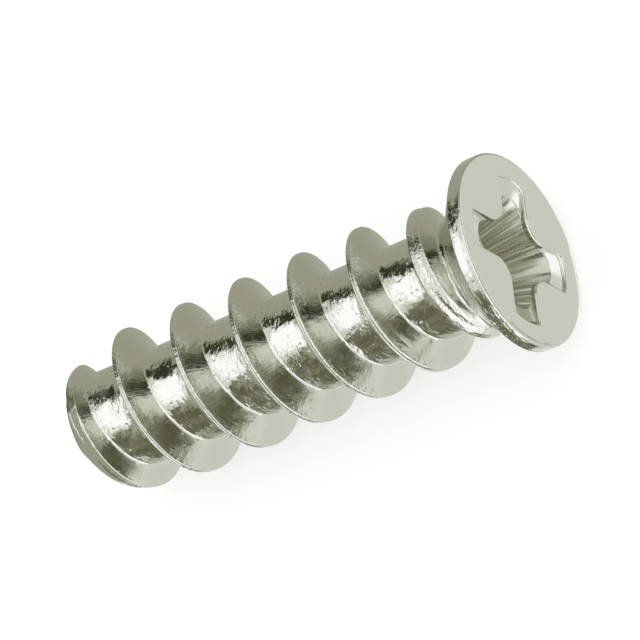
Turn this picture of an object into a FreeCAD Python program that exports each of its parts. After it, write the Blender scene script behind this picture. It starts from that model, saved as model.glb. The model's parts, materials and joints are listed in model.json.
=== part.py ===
import FreeCAD, Part
import math
import os

# Computer fan screw: one cold-headed and thread-rolled piece of steel wire.
# It is drawn upright, tip end at z = 0 and flat head at the top, and laid down at the end.
# All sizes are in millimetres and all angles in degrees.

# Whole screw
length = 15.0

# Thread: a coarse ridge rolled up from the core, cutting its own way into the fan frame
thread_diameter = 4.9
core_diameter = 3.18
pitch = 2.12
crest_land = 0.13
flank_angle = 27.0
root_height = 0.06
thread_start = 0.29

# Tip: the first turns are not full, because the wire is pointed before rolling
tip_diameter = 3.9
tip_taper = 1.63
tip_bevel = 0.12

# Run-out: the crest sinks in one long curve on its way to the head
runout_length = 3.55
runout_bow = 0.12
runout_diameter = 4.08

# Head: a thin flat disc with a plain rim, on a cone that runs down to the neck
head_diameter = 6.0
rim_height = 0.43
rim_edge_radius = 0.05
cone_height = 1.145
neck_radius = 0.25

# Cross recess, size 2: four wings that end half round below shallow lead-in ramps
recess_span = 4.58
recess_ramp_span = 3.6
recess_ramp_depth = 0.19
recess_floor_span = 2.4
recess_floor_depth = 1.75
recess_point_radius = 0.6
recess_point_depth = 0.4
wing_width = 1.17
wing_width_floor = 0.8
wing_bow = 0.1
wing_bow_deep = 0.5
wing_bow_floor = 0.3
corner_radius = 0.68
corner_radius_floor = 0.45
recess_turn = 59.0

ORIGIN = FreeCAD.Vector(0, 0, 0)
UP = FreeCAD.Vector(0, 0, 1)

crest_r = thread_diameter / 2
core_r = core_diameter / 2
head_r = head_diameter / 2
rim_z = length - rim_height
neck_z = rim_z - cone_height


def profile_point(r, z):
    """A point of a turned profile, at radius r and height z."""
    return FreeCAD.Vector(r, 0, z)


def line(a, b):
    return Part.LineSegment(a, b).toShape()


def revolve(edges):
    """The solid that a closed profile in the xz plane turns round the screw's axis."""
    face = Part.Face(Part.Wire(edges))
    return face.revolve(ORIGIN, UP, 360)


def corner_arc(before, corner, after, radius):
    """The arc that rounds a corner of a profile, with its two tangent points."""
    to_before = (before - corner).normalize()
    to_after = (after - corner).normalize()
    half = to_before.getAngle(to_after) / 2
    reach = radius / math.tan(half)
    start = corner + to_before * reach
    end = corner + to_after * reach
    bisector = (to_before + to_after).normalize()
    centre = corner + bisector * (radius / math.sin(half))
    middle = centre - bisector * radius
    return start, end, Part.Arc(start, middle, end).toShape()


def core_and_head():
    """The turned body under the thread: core, neck, underhead cone and rim."""
    axis_low = profile_point(0, 0)
    axis_high = profile_point(0, length)
    end_face = profile_point(core_r - tip_bevel, 0)
    end_edge = profile_point(core_r, tip_bevel)
    neck = profile_point(core_r, neck_z)
    rim_low = profile_point(head_r, rim_z)
    rim_high = profile_point(head_r, length)
    neck_in, neck_out, neck_round = corner_arc(end_edge, neck, rim_low, neck_radius)
    low_in, low_out, low_round = corner_arc(neck, rim_low, rim_high, rim_edge_radius)
    high_in, high_out, high_round = corner_arc(rim_low, rim_high, axis_high, rim_edge_radius)
    return revolve([
        line(axis_low, end_face),
        line(end_face, end_edge),
        line(end_edge, neck_in),
        neck_round,
        line(neck_out, low_in),
        low_round,
        line(low_out, high_in),
        high_round,
        line(high_out, axis_high),
        line(axis_high, axis_low),
    ])


def crest_envelope():
    """The turned shape that the crests reach: tip taper, full thread and run-out."""
    runout_r = runout_diameter / 2
    full_end = neck_z - runout_length
    top = neck_z + cone_height / 2
    tip_low = profile_point(tip_diameter / 2, 0)
    tip_high = profile_point(crest_r, tip_taper)
    full_high = profile_point(crest_r, full_end)
    sunk = profile_point(runout_r, neck_z)
    halfway = (full_high + sunk) * 0.5 + profile_point(runout_bow, 0)
    return revolve([
        line(profile_point(0, 0), tip_low),
        line(tip_low, tip_high),
        line(tip_high, full_high),
        Part.Arc(full_high, halfway, sunk).toShape(),
        line(sunk, profile_point(core_r, top)),
        line(profile_point(core_r, top), profile_point(0, top)),
        line(profile_point(0, top), profile_point(0, 0)),
    ])


def ridge():
    """The thread's ridge, swept up a right-hand helix, before the crests are trimmed."""
    slope = math.tan(math.radians(flank_angle))
    crest_over = crest_land / (4 * slope)
    foot_under = root_height
    foot_r = core_r + root_height
    foot_half = crest_land / 2 + (crest_r - foot_r) * slope
    low_half = foot_half + root_height + foot_under
    outline = [
        (core_r - foot_under, low_half),
        (foot_r, foot_half),
        (crest_r + crest_over, crest_land / 4),
    ]
    start_z = thread_start - 2 * pitch
    upper = [profile_point(r, start_z + half) for r, half in outline]
    lower = [profile_point(r, start_z - half) for r, half in reversed(outline)]
    helix = Part.makeLongHelix(pitch, neck_z + cone_height - start_z, core_r, 0)
    helix.translate(UP * start_z)
    sweep = Part.BRepOffsetAPI.MakePipeShell(Part.Wire(helix))
    sweep.setBiNormalMode(UP)
    sweep.add(Part.makePolygon(upper + lower + upper[:1]))
    sweep.build()
    sweep.makeSolid()
    return sweep.shape()


def cross_outline(span, width, bow, radius, depth):
    """The recess's cross-shaped outline at one depth: wing ends bowed, inner corners rounded."""
    z = length - depth
    half = width / 2
    tip_x = span / 2 - bow
    edges = []
    for quarter in range(4):
        turn = FreeCAD.Rotation(UP, 90 * quarter)

        def at(x, y):
            return turn.multVec(FreeCAD.Vector(x, y, 0)) + FreeCAD.Vector(0, 0, z)

        inner = half + radius
        bend = half + radius * (1 - math.sqrt(0.5))
        edges.append(Part.Arc(at(tip_x, -half), at(span / 2, 0), at(tip_x, half)).toShape())
        edges.append(line(at(tip_x, half), at(inner, half)))
        edges.append(Part.Arc(at(inner, half), at(bend, bend), at(half, inner)).toShape())
        edges.append(line(at(half, inner), at(half, tip_x)))
    return Part.Wire(edges)


def recess():
    """The punched cross recess: lead-in ramps, steep wings and a shallow pointed floor."""
    ramp = (recess_span - recess_ramp_span) / recess_ramp_depth
    above = rim_edge_radius
    high = (recess_span + ramp * above, wing_width, wing_bow, corner_radius, -above)
    deep = (recess_ramp_span, wing_width, wing_bow_deep, corner_radius, recess_ramp_depth)
    floor = (
        recess_floor_span, wing_width_floor, wing_bow_floor, corner_radius_floor,
        recess_floor_depth,
    )
    sections = [high, deep, floor]
    wings = Part.makeLoft([cross_outline(*s) for s in sections], True, True)
    point_low = profile_point(0, length - recess_floor_depth - recess_point_depth)
    point = Part.makeCone(0, recess_point_radius, recess_point_depth, point_low)
    hole = wings.fuse(point)
    hole.rotate(ORIGIN, UP, recess_turn)
    return hole


def screw():
    thread = ridge().common(crest_envelope())
    return core_and_head().fuse(thread).cut(recess()).removeSplitter().Solids[0]


def crest_points():
    """Points (turn, height, radius) over the ridge's cross-section along its first turns."""
    slope = math.tan(math.radians(flank_angle))
    half_base = crest_land / 2 + (crest_r - core_r) * slope
    tip_r = tip_diameter / 2
    points = []
    for turn in range(0, 1080, 3):
        for step in range(-8, 9):
            offset = half_base * step / 8
            z = thread_start + pitch * turn / 360 + offset
            flank = crest_r - max(0, abs(offset) - crest_land / 2) / slope
            reach = tip_r + (crest_r - tip_r) * z / tip_taper
            points.append((math.radians(turn), z, min(crest_r, flank, reach)))
    return points


def resting_attitude(centre):
    """Roll and tilt of the screw on a table, where its centre of mass lies lowest.

    The table touches the rim's lower corner and the crest that gives the least slope.
    """
    points = crest_points()
    attitudes = []
    for roll in range(0, 360, 2):
        down = math.radians(roll)
        slope = min((head_r - r * math.cos(turn - down)) / (rim_z - z) for turn, z, r in points)
        offset = centre.x * math.cos(down) + centre.y * math.sin(down)
        tilt = math.atan(slope)
        height = (head_r - slope * (rim_z - centre.z) - offset) * math.cos(tilt)
        attitudes.append((height, roll, math.degrees(tilt)))
    return min(attitudes)[1:]


def laid_down(shape):
    """The screw on its side as it comes to rest, head towards +X."""
    roll, tilt = resting_attitude(shape.CenterOfMass)
    shape = shape.copy()
    shape.rotate(ORIGIN, UP, -roll)
    shape.rotate(ORIGIN, FreeCAD.Vector(0, 1, 0), 90 - tilt)
    box = shape.optimalBoundingBox(True)
    shape.translate(FreeCAD.Vector(-box.Center.x, -box.Center.y, -box.ZMin))
    return shape


os.makedirs("parts", exist_ok=True)
laid_down(screw()).exportStep("parts/fan_screw.step")
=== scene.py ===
import json

import bpy
import numpy as np
from mathutils import Matrix


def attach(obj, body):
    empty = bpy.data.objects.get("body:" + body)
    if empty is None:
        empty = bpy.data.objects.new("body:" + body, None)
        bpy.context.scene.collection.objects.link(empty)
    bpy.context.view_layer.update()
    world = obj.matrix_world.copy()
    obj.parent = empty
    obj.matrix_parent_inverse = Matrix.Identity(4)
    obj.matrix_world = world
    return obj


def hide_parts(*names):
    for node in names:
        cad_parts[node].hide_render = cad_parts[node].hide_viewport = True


# A computer fan screw: one piece of steel wire, headed and thread-rolled cold and then nickel
# plated. Its shape is worked out upright in millimetres, tip end at height 0 and head up, and is
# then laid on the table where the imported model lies. Angles run round the screw's axis.

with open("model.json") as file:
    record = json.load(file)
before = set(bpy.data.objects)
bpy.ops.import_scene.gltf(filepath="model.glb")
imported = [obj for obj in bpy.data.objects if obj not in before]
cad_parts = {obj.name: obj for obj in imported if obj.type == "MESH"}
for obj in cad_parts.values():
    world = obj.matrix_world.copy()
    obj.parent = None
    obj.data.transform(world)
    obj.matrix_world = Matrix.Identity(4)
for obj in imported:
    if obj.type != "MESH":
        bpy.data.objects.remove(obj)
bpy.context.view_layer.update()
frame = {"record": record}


# How the screw lies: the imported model's mounts give the axis, the middle of the head's face and a
# mark on that face, and from them every worked-out point goes straight to its place on the table.

MM = 0.001
length = 15.0
face_mark_angle = 104.0

mounts = {mount["name"]: mount for mount in frame["record"]["mounts"]}
face_centre = np.array(mounts["driver_recess"]["pos_m"])
axis_up = np.array(mounts["driver_recess"]["axis"])
axis_up = axis_up / np.linalg.norm(axis_up)
mark = np.array(mounts["head_face"]["pos_m"]) - face_centre
mark = mark - axis_up * (mark @ axis_up)
mark = mark / np.linalg.norm(mark)
beside_mark = np.cross(axis_up, mark)
back = np.radians(-face_mark_angle)
axis_across = mark * np.cos(back) + beside_mark * np.sin(back)
axis_side = np.cross(axis_up, axis_across)


def laid(x, y, z):
    """Points in metres on the table: the face's centre, plus x, y and (z - length) along the
    screw's own three directions."""
    offsets = x[..., None] * axis_across + y[..., None] * axis_side
    offsets = offsets + (z - length)[..., None] * axis_up
    return face_centre + offsets * MM


# The shank. The blank is pointed, then rolled between flat dies that push a tall sharp ridge up
# from the wire. The first turns stay low on the point, and the last one sinks towards the head.

thread_diameter = 4.9
core_diameter = 3.18
pitch = 2.12
crest_land = 0.13
flank_angle = 27.0
thread_start = 0.29
tip_diameter = 3.9
tip_taper = 1.63
runout_length = 3.55
runout_bow = 0.12
runout_diameter = 4.08
head_diameter = 6.0
rim_height = 0.43
cone_height = 1.145
root_softness = 0.05
crest_softness = 0.05
neck_softness = 0.07

# The seam's depth, width and wander are shares of the land's width, or of seam_land where the
# land is wider than that. The wander's rate is in radians per millimetre along the screw.
seam_depth = 0.15
seam_width = 0.22
seam_wander = 0.14
seam_wander_rate = 3.3
seam_land = 0.22

crest_r = thread_diameter / 2
core_r = core_diameter / 2
head_r = head_diameter / 2
rim_z = length - rim_height
neck_z = rim_z - cone_height
flank_run = np.tan(np.radians(flank_angle))
cone_slope = (head_r - core_r) / cone_height

columns = 240
angles = 2 * np.pi * np.arange(columns) / columns


def larger(a, b, softness):
    """The larger of two heights, with the corner where they cross rounded as a hyperbola."""
    return (a + b + np.sqrt((a - b) ** 2 + softness ** 2)) / 2


def smaller(a, b, softness):
    """The smaller of two heights, with the corner where they cross rounded as a hyperbola."""
    return (a + b - np.sqrt((a - b) ** 2 + softness ** 2)) / 2


def body_radius(z):
    """Core and underhead cone: the larger of the wire's radius and a line that climbs from it at
    the neck, with the neck's corner rounded."""
    return larger(core_r, core_r + (z - neck_z) * cone_slope, neck_softness)


def crest_limit(z):
    """How far out the crest may reach: a line up the point, the full radius, then a line bowed as
    a parabola that sinks to the run-out's radius and drops into the cone."""
    tip_r = tip_diameter / 2
    runout_r = runout_diameter / 2
    full_end = neck_z - runout_length
    along = np.clip((z - full_end) / runout_length, 0, 1)
    pointed = tip_r + (crest_r - tip_r) * z / tip_taper
    sinking = crest_r + (runout_r - crest_r) * along + runout_bow * 4 * along * (1 - along)
    buried = runout_r - (z - neck_z) * (runout_r - core_r) * 2 / cone_height
    return np.minimum(np.minimum(pointed, sinking), np.where(z > neck_z, buried, sinking))


def land_edge(centre_z, side):
    """Where the crest's land ends on one side (1 or -1) of the ridge's middle: the flank reaches
    the crest's limit there, found by six rounds of substitution."""
    offset = side * crest_land / 2
    for _ in range(6):
        sunk = np.maximum(crest_r - crest_limit(centre_z + offset), 0)
        offset = side * (crest_land / 2 + sunk * flank_run)
    return offset


def thread_radius(centre_z, offset):
    """The ridge's section over its middle line: straight flanks, cut off at the crest's limit with
    softened edges, less a seam along the land where the two flanks met in rolling, which is a
    shallow bell curve that wanders as a sine, and a small fillet down to the core."""
    z = centre_z + offset
    flank = crest_r - (np.abs(offset) - crest_land / 2) / flank_run
    low, high = land_edge(centre_z, -1), land_edge(centre_z, 1)
    width = high - low
    middle = (low + high) / 2 + width * seam_wander * np.sin(seam_wander_rate * centre_z)
    reach = np.minimum(width, seam_land)
    seam = reach * seam_depth * np.exp(-((offset - middle) / (reach * seam_width)) ** 2)
    top = smaller(flank, crest_limit(z), crest_softness) - seam
    return larger(body_radius(z), top, root_softness)


def side_radius(angle, z):
    """The shank's radius at any angle and height, from the nearest turn of the ridge."""
    rise = z - thread_start - pitch * angle / (2 * np.pi)
    offset = (rise + pitch / 2) % pitch - pitch / 2
    return thread_radius(z - offset, offset)


def spread(start, stop, steps, crowding):
    """Steps from one knot towards the next, evenly shared and then shifted by a sine, so that
    crowding above 0 packs them towards both knots."""
    share = np.arange(steps) / steps
    share = share + crowding * (np.sin(2 * np.pi * share)) / (-2 * np.pi)
    return start[:, None] + (stop - start)[:, None] * share


# The thread's strip: one row of points for each step round the helix, from halfway down to the
# turn below to halfway up to the turn above, with most points where the section bends.

tip_edge = 0.035
join_above_neck = 0.45
turns_below = 1.2
turns_above = 2
valley_margin = 0.15
foot_margin = 0.07
knot = 0.03
knot_crowding = 0.3

join_z = neck_z + join_above_neck
first_count = int(-turns_below * columns)
last_count = int((join_z / pitch + turns_above) * columns)
turn_count = np.arange(first_count, last_count)
turns = turn_count / columns
ridge_z = thread_start + pitch * turns
widest = pitch / 2 - valley_margin
edge_low = np.maximum(land_edge(ridge_z, -1), -widest)
edge_high = np.minimum(land_edge(ridge_z, 1), widest)
foot_reach = crest_land / 2 + (crest_r - body_radius(ridge_z)) * flank_run
foot_reach = np.maximum(foot_reach, np.maximum(edge_high, -edge_low) + foot_margin)
knots = [
    (np.full(len(turns), -pitch / 2), 2),
    (-foot_reach - knot, 4),
    (-foot_reach + knot, 3),
    (edge_low - knot, 7),
    (edge_low + knot, 10),
    (edge_high - knot, 7),
    (edge_high + knot, 3),
    (foot_reach - knot, 4),
    (foot_reach + knot, 2),
    (np.full(len(turns), pitch / 2), 0),
]
offsets = np.concatenate([
    spread(here, after, steps, knot_crowding)
    for (here, steps), (after, _) in zip(knots[:-1], knots[1:])
], axis=1)

thread_z = np.clip(ridge_z[:, None] + offsets, tip_edge, join_z)
thread_angle = np.broadcast_to(2 * np.pi * turns[:, None], thread_z.shape)
thread_r = thread_radius(ridge_z[:, None], thread_z - ridge_z[:, None])
thread_r = np.where(
    (thread_z <= tip_edge) | (thread_z >= join_z),
    side_radius(thread_angle % (2 * np.pi), thread_z),
    thread_r,
)


# The blunt tip, sheared and pressed flat with a shallow cup, and the head: a cone with the faint
# rings of the heading die, a thin plain rim and a flat face.

tip_cup = 0.05
cap_rows = 8
edge_rows = 5

end_r = side_radius(angles, np.full(columns, tip_edge))
bend = np.linspace(0, np.pi / 2, edge_rows + 1)[1:, None]
tip_edge_r = end_r - tip_edge * (1 - np.cos(bend))
tip_edge_z = np.repeat(tip_edge * (1 - np.sin(bend)), columns, axis=1)
share = np.linspace(1, 0, cap_rows + 1)[1:-1, None]
cap_r = tip_edge_r[-1] * share
cap_z = np.repeat(tip_cup * (1 - share ** 2) ** 2, columns, axis=1)

rim_edge_radius = 0.05
face_edge_radius = 0.075
cone_margin = 0.06
cone_rows = 16
rim_rows = 4
ring_count = 5.0
ring_height = 0.006

cone_z = np.linspace(join_z, rim_z - cone_margin, cone_rows + 1)[1:]
ring_phase = 2 * np.pi * ring_count * (cone_z - join_z) / (rim_z - join_z)
cone_r = body_radius(cone_z) + ring_height * np.sin(ring_phase)
low_turn = np.linspace(np.pi / 2 - np.arctan(1 / cone_slope), 0, edge_rows + 1)
low_reach = rim_edge_radius * np.tan(low_turn[0] / 2)
low_z = rim_z + low_reach - rim_edge_radius * np.sin(low_turn)
low_r = head_r - rim_edge_radius * (1 - np.cos(low_turn))
rim_line_z = np.linspace(low_z[-1], length - face_edge_radius, rim_rows + 1)[1:-1]
high_turn = np.linspace(0, np.pi / 2, edge_rows + 2)
high_z = length - face_edge_radius * (1 - np.sin(high_turn))
high_r = head_r - face_edge_radius * (1 - np.cos(high_turn))
ring_z = np.concatenate([cone_z, low_z, rim_line_z, high_z])
ring_r = np.concatenate([cone_r, low_r, np.full(len(rim_line_z), head_r), high_r])


# The cross recess, punched by a hardened pin while the head is struck: four wings with shallow
# lead-in ramps at their ends, steep drafted walls and a pointed floor. Its lip is rounded over.

recess_span = 4.58
recess_ramp_span = 3.6
recess_ramp_depth = 0.19
recess_floor_span = 2.4
recess_floor_depth = 1.75
recess_point_depth = 0.4
wing_width = 1.17
wing_width_floor = 0.8
wing_bow = 0.1
wing_bow_deep = 0.5
wing_bow_floor = 0.3
wing_corner = 0.1
nose_radius = 0.68
nose_radius_floor = 0.45
recess_turn = 59.0
lip_radius = 0.08


def cross_outline(span, width, bow, nose):
    """One cross-shaped outline, from the middle of a wing's end: the end's bowed arc, a rounded
    corner, a straight wall, then the nose's arc, mirrored and repeated four times. Each stretch
    has its own share of the columns, and the sizes are arrays with one value per outline."""
    sizes = (span, width, bow, nose)
    span, width, bow, nose = (np.asarray(size, float)[:, None] for size in sizes)
    eighth = columns // 8
    steps = np.arange(eighth)
    end_steps, corner_steps, wall_steps = 8, 4, 6
    nose_steps = eighth - end_steps - corner_steps - wall_steps
    half = width / 2
    end_radius = (half ** 2 + bow ** 2) / (2 * bow)
    end_x = span / 2 - end_radius
    end_angle = np.arcsin((half - wing_corner) / (end_radius - wing_corner))
    corner_x = end_x + (end_radius - wing_corner) * np.cos(end_angle)
    corner_y = half - wing_corner
    inner = half + nose
    along = np.clip(steps / end_steps, 0, 1) * end_angle
    end = end_x + end_radius * np.exp(1j * along)
    swing = np.clip((steps - end_steps) / corner_steps, 0, 1)
    swing = end_angle + (np.pi / 2 - end_angle) * swing
    corner = corner_x + 1j * corner_y + wing_corner * np.exp(1j * swing)
    walk = np.clip((steps - end_steps - corner_steps) / wall_steps, 0, 1)
    wall = corner_x + (inner - corner_x) * walk + 1j * half
    turn = np.clip((steps - end_steps - corner_steps - wall_steps) / nose_steps, 0, 1)
    point = inner * (1 + 1j) - 1j * nose * np.exp(-1j * (turn * np.pi / 4))
    point = np.where(steps < end_steps + corner_steps + wall_steps, wall, point)
    point = np.where(steps < end_steps + corner_steps, corner, point)
    point = np.where(steps < end_steps, end, point)
    middle = half + nose * (1 - np.sqrt(0.5))
    mirrored = np.conj(point[:, 1:])[:, ::-1] * 1j
    quarter = np.concatenate([point, middle * (1 + 1j), mirrored], axis=1)
    full = np.concatenate([quarter * 1j ** k for k in range(4)], axis=1)
    return full * np.exp(1j * np.radians(recess_turn))


def recess_sizes(depth):
    """Span, width, bow and nose radius at a depth: the lead-in ramp, then the drafted walls, and
    above both the lip's quarter round, which widens every outline as it nears the face."""
    marks = [lip_radius, recess_ramp_depth, recess_floor_depth]
    span = np.interp(depth, marks, [recess_span, recess_ramp_span, recess_floor_span])
    bow = np.interp(depth, marks, [wing_bow, wing_bow_deep, wing_bow_floor])
    width = np.interp(depth, marks[1:], [wing_width, wing_width_floor])
    nose = np.interp(depth, marks[1:], [nose_radius, nose_radius_floor])
    rise = np.clip(lip_radius - depth, 0, None)
    lip = lip_radius - np.sqrt(np.clip(lip_radius ** 2 - rise ** 2, 0, None))
    return span + 2 * lip, width + 2 * lip, bow, nose - lip


lip_rows, ramp_rows, wall_rows, floor_rows, face_rows = 6, 6, 20, 8, 9
ramp_end_gap = 0.02
ramp_edge_rings = np.array([-0.01, 0.0, 0.01, 0.025])

lip_depth = lip_radius * (1 - np.cos(np.linspace(0, np.pi / 2, lip_rows + 1)))
ramp_depth = np.linspace(lip_radius, recess_ramp_depth - ramp_end_gap, ramp_rows + 1)[1:]
edge_depth = recess_ramp_depth + ramp_edge_rings
wall_depth = np.linspace(edge_depth[-1], recess_floor_depth, wall_rows + 1)[1:]
depths = np.concatenate([lip_depth, ramp_depth, edge_depth, wall_depth])
recess_rings = cross_outline(*recess_sizes(depths))
recess_z = np.repeat(length - depths[:, None], columns, axis=1)
shrink = np.linspace(1, 0, floor_rows + 1)[1:-1, None]
floor_rings = recess_rings[-1] * shrink
floor_z = length - recess_floor_depth - recess_point_depth * (1 - shrink)
floor_z = np.repeat(floor_z, columns, axis=1)

recess_shift = int(round(recess_turn / 360 * columns))
recess_rings = np.roll(recess_rings, recess_shift, axis=1)
floor_rings = np.roll(floor_rings, recess_shift, axis=1)
face_share = np.linspace(0, 1, face_rows + 1)[1:-1, None]
face_edge = high_r[-1] * np.exp(1j * angles)
face_rings = face_edge * (1 - face_share) + recess_rings[0] * face_share
face_z = np.full(face_rings.shape, length)


# The skin: every ring above has the same columns, so the rings are stitched to one another and to
# the thread's helical strip, and points that fall together are welded.

tip_rings = [
    (end_r[None] * np.exp(1j * angles), np.full((1, columns), tip_edge)),
    (tip_edge_r * np.exp(1j * angles), tip_edge_z),
    (cap_r * np.exp(1j * angles), cap_z),
]
join_r = side_radius(angles, np.full(columns, join_z))
head_rings = [
    (join_r[None] * np.exp(1j * angles), np.full((1, columns), join_z)),
    (ring_r[:, None] * np.exp(1j * angles), np.repeat(ring_z[:, None], columns, axis=1)),
    (face_rings, face_z),
    (recess_rings, recess_z),
    (floor_rings, floor_z),
]


def stitched(rings, first, upward):
    """Quads between neighbouring rings, whose points are numbered from first, ring by ring."""
    rows = sum(len(z) for _, z in rings)
    index = first + np.arange(rows * columns).reshape(rows, columns)
    beside = np.roll(index, -1, axis=1)
    loop = [index[:-1], beside[:-1], beside[1:], index[1:]]
    return np.stack(loop if upward else loop[::-1], axis=-1).reshape(-1, 4)


def fan(ring_first, middle, upward):
    """Triangles from a closed ring of points to one middle point."""
    ring = ring_first + np.arange(columns)
    loop = [ring, np.roll(ring, -1), np.full(columns, middle)]
    return np.stack(loop if upward else loop[::-1], axis=-1)


def spiral(first, tip_first, join_first):
    """The thread's strip, each row joined to the next and the last row to the first of the turn
    above. Points past either end of the shank become that end ring's own point."""
    index = first + np.arange(thread_z.size).reshape(thread_z.shape)
    column = (turn_count % columns)[:, None]
    index = np.where(thread_z <= tip_edge, tip_first + column, index)
    index = np.where(thread_z >= join_z, join_first + column, index)
    above = np.concatenate([index[:-columns, 1:], index[columns:, :1]], axis=1)
    index = index[:-columns]
    faces = np.stack([index[:-1], index[1:], above[1:], above[:-1]], axis=-1).reshape(-1, 4)
    same = faces == np.roll(faces, -1, axis=1)
    whole = faces[same.sum(axis=1) == 0]
    folded = same.sum(axis=1) == 1
    return whole, faces[folded][~same[folded]].reshape(-1, 3)


rings = [(thread_r * np.exp(1j * thread_angle), thread_z)] + tip_rings + head_rings
middle_z = [tip_cup, length - recess_floor_depth - recess_point_depth]
plan = np.concatenate([ring.ravel() for ring, _ in rings] + [np.zeros(2)])
height = np.concatenate([z.ravel() for _, z in rings] + [middle_z])
tip_first = thread_z.size
head_first = tip_first + sum(z.size for _, z in tip_rings)
end_middle, floor_middle = len(plan) - 2, len(plan) - 1
strip_quads, strip_triangles = spiral(0, tip_first, head_first)
quads = np.concatenate([
    strip_quads, stitched(tip_rings, tip_first, False), stitched(head_rings, head_first, True)
])
triangles = np.concatenate([
    strip_triangles,
    fan(head_first - columns, end_middle, False),
    fan(floor_middle - 1 - columns, floor_middle, True),
])
corners = np.concatenate([quads.ravel(), triangles.ravel()])
used, numbers = np.unique(corners, return_inverse=True)
quads, triangles = numbers[:quads.size].reshape(-1, 4), numbers[quads.size:].reshape(-1, 3)
plan, height = plan[used], height[used]

points = laid(plan.real, plan.imag, height)
mesh = bpy.data.meshes.new("fan_screw_skin")
mesh.from_pydata(points.tolist(), [], quads.tolist() + triangles.tolist())
mesh.shade_smooth()
screw = bpy.data.objects.new("fan_screw_skin", mesh)
bpy.context.scene.collection.objects.link(screw)


# The nickel plate. What rolling and heading leave on it is told by four masks on the points:
# radial streaks on the flanks, speckle on core, cone and rim, wear on edges and along the crest,
# where it fades towards the tip, and streaks down the recess's walls.

crest_fade = 0.07
crest_full = 0.01
foot_fade = 0.06
tip_wear = 0.25
wear_start = 0.5
wear_full = 1.5 * tip_taper
flank_calm = 0.45


def soft_step(value, start, stop):
    """A step from 0 at start to 1 at stop: three times the squared share less twice its cube."""
    share = np.clip((value - start) / (stop - start), 0, 1)
    return share * share * (3 - 2 * share)


low, high, foot = edge_low[:, None], edge_high[:, None], foot_reach[:, None]
crest_mask = soft_step(offsets, low - crest_fade, low - crest_full)
crest_mask = crest_mask * soft_step(-offsets, -high - crest_fade, -high - crest_full)
flank_mask = soft_step(-np.abs(offsets), -foot, foot_fade - foot) * (1 - crest_mask)
wear_along = tip_wear + (1 - tip_wear) * soft_step(ridge_z, wear_start, wear_full)
crest_wear = crest_mask * wear_along[:, None]
strip_masks = [flank_mask, 1 - flank_calm * flank_mask, crest_wear, 0 * offsets]
strip_masks = np.stack(strip_masks, axis=-1)

# Each kind of ring with its share of flank streaks, speckle, wear and wall streaks.
ring_kinds = [
    (tip_rings, 0.0, 0.5, 0.2, 0.0),
    (head_rings[:1], 0.0, 0.8, 0.0, 0.0),
    ([(cone_r, cone_z)], 0.0, 0.6, 0.0, 0.0),
    ([(low_r, low_z)], 0.0, 1.0, 0.6, 0.0),
    ([(rim_line_z, rim_line_z)], 0.0, 1.0, 0.1, 0.0),
    ([(high_r, high_z)], 0.0, 0.7, 0.6, 0.0),
    (head_rings[2:3], 0.0, 0.04, 0.0, 0.0),
    (head_rings[3:], 0.0, 0.12, 0.0, 1.0),
]
ring_masks = [
    np.tile(kind[1:], (sum(len(z) for _, z in kind[0]) * columns, 1)) for kind in ring_kinds
]
middle_masks = np.tile([0.0, 0.3, 0.0, 0.0], (2, 1))
masks = np.concatenate([strip_masks.reshape(-1, 4)] + ring_masks + [middle_masks])[used]
own_place = np.stack([plan.real, plan.imag, height], axis=-1)
for name, values in (("own_place", own_place), ("finish", masks[:, :3])):
    mesh.attributes.new(name, "FLOAT_VECTOR", "POINT").data.foreach_set("vector", values.ravel())
mesh.attributes.new("wall_streaks", "FLOAT", "POINT").data.foreach_set("value", masks[:, 3])

nickel = bpy.data.materials.new("nickel_plate")
nickel.use_nodes = True
nickel_nodes, nickel_links = nickel.node_tree.nodes, nickel.node_tree.links
shader = nickel_nodes["Principled BSDF"]


def join(node, values):
    """Gives a node's inputs, by name or number, either a constant or another node's output."""
    for name, value in values.items():
        if isinstance(value, bpy.types.NodeSocket):
            nickel_links.new(value, node.inputs[name])
        else:
            node.inputs[name].default_value = value
    return node


def maths(operation, *values):
    """The result of one operation on numbers or on other nodes' outputs."""
    node = nickel_nodes.new("ShaderNodeMath")
    node.operation = operation
    return join(node, dict(enumerate(values))).outputs["Value"]


def product(first, *others):
    """All the values multiplied, one after another."""
    for other in others:
        first = maths("MULTIPLY", first, other)
    return first


def total(first, *others):
    """All the values added, one after another."""
    for other in others:
        first = maths("ADD", first, other)
    return first


def noise(place, scale, detail):
    """Cloudy noise round 0.5, with as many lumps to a millimetre as the scale says, and finer
    ones laid over them as the detail says."""
    node = nickel_nodes.new("ShaderNodeTexNoise")
    return join(node, {"Vector": place, "Scale": scale, "Detail": detail}).outputs["Fac"]


def ramp(value, start, stop, low, high):
    """From low to high along a smooth step, while the value goes from start to stop."""
    node = nickel_nodes.new("ShaderNodeMapRange")
    node.interpolation_type = "SMOOTHSTEP"
    values = {"Value": value, "From Min": start, "From Max": stop, "To Min": low, "To Max": high}
    return join(node, values).outputs["Result"]


def attribute(name):
    """The values that the skin's points carry under a name."""
    node = nickel_nodes.new("ShaderNodeAttribute")
    node.attribute_name = name
    return node


def separate(vector):
    """The three parts of a place or a set of masks."""
    return join(nickel_nodes.new("ShaderNodeSeparateXYZ"), {"Vector": vector}).outputs


def combine(x, y, z):
    """A place made from its three parts."""
    return join(nickel_nodes.new("ShaderNodeCombineXYZ"), {"X": x, "Y": y, "Z": z}).outputs["Vector"]


def stretched(across_x, across_y, across, along):
    """A place whose sideways parts are multiplied by across and its height by along, so that
    noise is drawn out in the direction whose factor is small."""
    return combine(product(across_x, across), product(across_y, across), product(z, along))


place = attribute("own_place").outputs["Vector"]
x, y, z = separate(place)
streaks, speckle, wear = separate(attribute("finish").outputs["Vector"])
walls = attribute("wall_streaks").outputs["Fac"]

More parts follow.
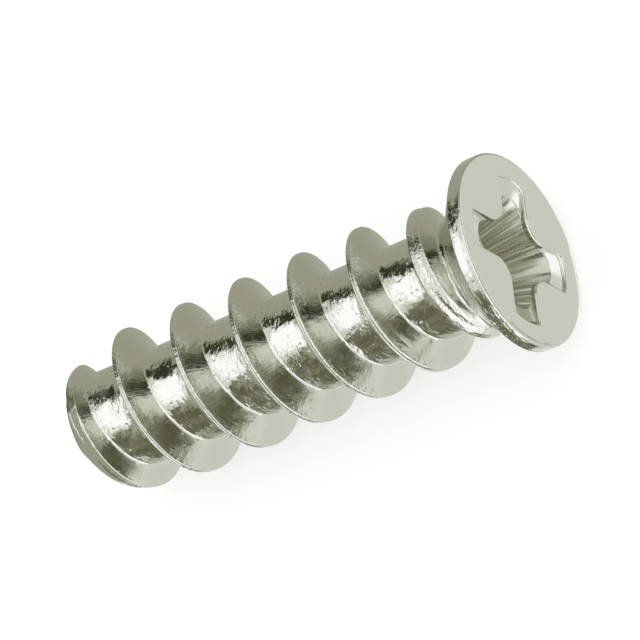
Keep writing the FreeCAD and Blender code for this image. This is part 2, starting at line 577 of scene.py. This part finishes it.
outward = nickel_nodes.new("ShaderNodeVectorMath")
outward.operation = "NORMALIZE"
join(outward, {0: combine(x, y, 0.0)})
round_x, round_y, _ = separate(outward.outputs["Vector"])
radial = stretched(round_x, round_y, across=2.0, along=0.25)
downward = stretched(x, y, across=1.0, along=0.06)
rolled = stretched(x, y, across=0.55, along=1.25)

# Heights of the relief in millimetres: long waves, patchy grain and small pits from the rolling
# dies, combed streaks on the flanks, drawn lines on the recess's walls, and nicks where it wears.
wave_height = 0.030
grain_height = 0.014
pit_depth = 0.011
pit_cells_per_mm = 3.6
comb_height = 0.0042
drawn_height = 0.0016
nick_height = 0.018

waves = product(noise(place, scale=2.3, detail=2.0), wave_height, product(speckle, speckle))
patches = ramp(noise(place, scale=1.1, detail=2.0), start=0.40, stop=0.62, low=0.35, high=1.7)
grain = product(noise(rolled, scale=8.5, detail=3.0), grain_height, patches)
pit_cells = nickel_nodes.new("ShaderNodeTexVoronoi")
join(pit_cells, {"Vector": place, "Scale": pit_cells_per_mm})
chance = separate(pit_cells.outputs["Color"])[0]
hollow = ramp(pit_cells.outputs["Distance"], start=0.05, stop=0.22, low=-pit_depth, high=0.0)
pits = product(hollow, ramp(chance, start=0.55, stop=0.65, low=0.0, high=1.0), speckle)
rough_parts = product(total(waves, grain, pits), speckle)
combed = product(noise(radial, scale=20.0, detail=3.0), comb_height, streaks)
drawn = product(noise(downward, scale=11.0, detail=2.0), drawn_height, walls)
nicks = product(noise(place, scale=11.0, detail=3.0), nick_height, wear)
bump = nickel_nodes.new("ShaderNodeBump")
relief = total(rough_parts, combed, drawn, nicks)
join(bump, {"Height": relief, "Distance": MM, "Strength": 1.0})

# The plate is brightest on the face and dulls on flanks, in faint clouds on the core, on the
# recess's walls and where it wears.
least_roughness = 0.07
wall_dulling = 0.08
wear_dulling = 0.02

satin = ramp(noise(place, scale=1.7, detail=3.0), start=0.35, stop=0.65, low=0.02, high=0.09)
haze = ramp(noise(place, scale=2.4, detail=4.0), start=0.48, stop=0.68, low=0.01, high=0.18)
unworn = product(speckle, maths("SUBTRACT", 1.0, wear))
roughness = total(
    product(streaks, satin), product(unworn, haze), product(walls, wall_dulling),
    product(wear, wear_dulling), least_roughness,
)
join(shader, {
    "Base Color": (0.60, 0.60, 0.52, 1), "Metallic": 1.0, "Roughness": roughness,
    "Normal": bump.outputs["Normal"],
})
mesh.materials.append(nickel)
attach(screw, "root")
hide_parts("fan_screw")


# The table: a plain white sheet that the screw lies on, with its soft shadow. Reflections don't
# see it, so that the reflector cards below its level can be seen in the plating.

table_size = 600.0


def stage_piece(name, points, faces, material):
    """A piece of the stage from points in millimetres."""
    shape = bpy.data.meshes.new(name)
    shape.from_pydata((np.asarray(points, float) * MM).tolist(), [], np.asarray(faces).tolist())
    shape.materials.append(material)
    piece = bpy.data.objects.new(name, shape)
    bpy.context.scene.collection.objects.link(piece)
    return piece


paper = bpy.data.materials.new("white_paper")
paper.use_nodes = True
paper_shader = paper.node_tree.nodes["Principled BSDF"]
paper_shader.inputs["Base Color"].default_value = (0.5, 0.5, 0.5, 1)
paper_shader.inputs["Roughness"].default_value = 0.9
paper_shader.inputs["Specular IOR Level"].default_value = 0.0
paper_shader.inputs["Emission Color"].default_value = (1.0, 1.0, 1.0, 1)
paper_shader.inputs["Emission Strength"].default_value = 0.6
half_table = table_size / 2
table_corners = [
    (-half_table, -half_table, 0), (half_table, -half_table, 0),
    (half_table, half_table, 0), (-half_table, half_table, 0),
]
table = stage_piece("table", table_corners, [(0, 1, 2, 3)], paper)
table.visible_glossy = False


# The reflector cards: bright plating shows only what stands round it, so a studio sets white
# softboxes on some sides and dark and grey cards on the others. Only reflections see them, and each
# glows on its own. Below the table's level they stand in for the paper that the plating would
# mirror. The pale card stands for the lit paper, and the dark, dim and grey cards there are painted
# shade on the paper round the screw. The low strip light glows there too.

card_distance = 150.0
card_columns = 25
card_rows = 13


def card_colour(name, colour, strength):
    """A card's surface, which glows evenly in one colour."""
    material = bpy.data.materials.new(name)
    material.use_nodes = True
    nodes, links = material.node_tree.nodes, material.node_tree.links
    nodes.remove(nodes["Principled BSDF"])
    glow = nodes.new("ShaderNodeEmission")
    glow.inputs["Color"].default_value = (*colour, 1)
    glow.inputs["Strength"].default_value = strength
    links.new(glow.outputs["Emission"], nodes["Material Output"].inputs["Surface"])
    return material


def only_reflected(card):
    """Hides a card from the camera, from soft light and from shadows."""
    card.visible_camera = False
    card.visible_diffuse = False
    card.visible_transmission = False
    card.visible_shadow = False
    return card


def far_card(name, bearing, climb, material, nearer=0.0):
    """A patch of a sphere round the screw, between two bearings from +X and two climbs from the
    table's level, in degrees. Climbs below the table are negative."""
    bearings = np.radians(np.linspace(*bearing, card_columns))
    climbs = np.radians(np.linspace(*climb, card_rows))
    across, upward = np.meshgrid(bearings, climbs)
    points = (card_distance - nearer) * np.stack(
        [np.cos(upward) * np.cos(across), np.cos(upward) * np.sin(across), np.sin(upward)], axis=-1
    )
    index = np.arange(card_rows * card_columns).reshape(card_rows, card_columns)
    faces = np.stack([index[:-1, :-1], index[:-1, 1:], index[1:, 1:], index[1:, :-1]], axis=-1)
    return only_reflected(stage_piece(name, points.reshape(-1, 3), faces.reshape(-1, 4), material))


dark = card_colour("dark_card", (0.205, 0.202, 0.142), 1.0)
dim = card_colour("dim_card", (0.36, 0.355, 0.265), 1.0)
black = card_colour("black_card", (0.055, 0.052, 0.028), 1.0)
grey = card_colour("grey_card", (0.50, 0.50, 0.425), 1.0)
pale = card_colour("pale_card", (0.93, 0.93, 0.93), 1.0)
lit = card_colour("softbox", (0.9, 0.9, 1.0), 1.8)

# The dark card has lighter clouds on it, as a room's unlit side has, and so has the painted shade
# that its pieces below the table's level put into the plating. Its glow climbs from To Min to To Max
# while a cloudy noise goes from From Min to From Max.
dark_nodes, dark_links = dark.node_tree.nodes, dark.node_tree.links
clouds = dark_nodes.new("ShaderNodeTexNoise")
clouds.inputs["Scale"].default_value = 90.0
clouds.inputs["Detail"].default_value = 3.0
lightness = dark_nodes.new("ShaderNodeMapRange")
for socket, value in (("From Min", 0.46), ("From Max", 0.74), ("To Min", 0.72), ("To Max", 2.4)):
    lightness.inputs[socket].default_value = value
dark_links.new(dark_nodes.new("ShaderNodeTexCoord").outputs["Object"], clouds.inputs["Vector"])
dark_links.new(clouds.outputs["Fac"], lightness.inputs["Value"])
dark_links.new(lightness.outputs["Result"], dark_nodes["Emission"].inputs["Strength"])

far_card("softbox", (140, 227), (43, 78), lit)
far_card("softbox_right", (258, 308), (-34, 45), lit)
far_card("softbox_ahead", (-60, 42), (32, 66), lit)
far_card("black_card_left", (60, 149), (26.5, 49), black, nearer=10.0)
far_card("grey_card_left", (44, 142), (-62, 28), grey)
far_card("dark_card_tip", (142, 157), (-50, 30), dark)
far_card("grey_card_tip", (157, 229), (-42, 40), grey)
far_card("dark_card_right", (229, 258), (-42, 42), dark)
# Painted shade: a dark card below the table's level, where the plating would mirror the paper that
# the screw shades.
far_card("painted_shade_right_low", (212, 258), (-58, -42), dark)
far_card("dim_card_ahead", (-26, 8), (-20, 12), dim)
far_card("dim_card_beside", (20, 42), (-14, 12), dim)
far_card("strip_light_low", (2, 25), (-38, -21), lit)
far_card("pale_card_ahead", (-60, 44), (-85, -38), pale)

world = bpy.data.worlds.new("studio")
bpy.context.scene.world = world
world.use_nodes = True
room = world.node_tree.nodes["Background"]
room.inputs["Color"].default_value = (1, 1, 1, 1)
room.inputs["Strength"].default_value = 1.0


# The camera stands where the photographer's did, well back and looking down on the head's side.
# Its tilt and roll are measured from the screw's own axis, and it aims a little beside a point on
# that axis.

tilt = np.radians(28.90)
roll = np.radians(23.18)
camera_distance = 337.1
sight_height = 7.168
sight_right, sight_up = 0.544, 0.672
focal_length = 650.7
sensor_width = 36
nearest_seen = 0.01

right = np.array([-np.sin(tilt) * np.cos(roll), np.sin(roll), np.cos(tilt) * np.cos(roll)])
up = np.array([-np.sin(tilt) * np.sin(roll), -np.cos(roll), np.cos(tilt) * np.sin(roll)])
away = np.array([np.cos(tilt), 0.0, np.sin(tilt)])
own = np.stack([axis_across, axis_side, axis_up])
right, up, away = right @ own, up @ own, away @ own
target = laid(np.array(0.0), np.array(0.0), np.array(sight_height))
target = target + (right * sight_right + up * sight_up) * MM

lens = bpy.data.cameras.new("camera")
lens.sensor_width = sensor_width
lens.lens = focal_length
lens.clip_start = nearest_seen
camera = bpy.data.objects.new("camera", lens)
stand = Matrix([[*row] for row in np.stack([right, up, away], axis=1)]).to_4x4()
stand.translation = target + away * camera_distance * MM
camera.matrix_world = stand
bpy.context.scene.collection.objects.link(camera)
bpy.context.scene.camera = camera

bpy.context.scene.view_settings.view_transform = "Standard"
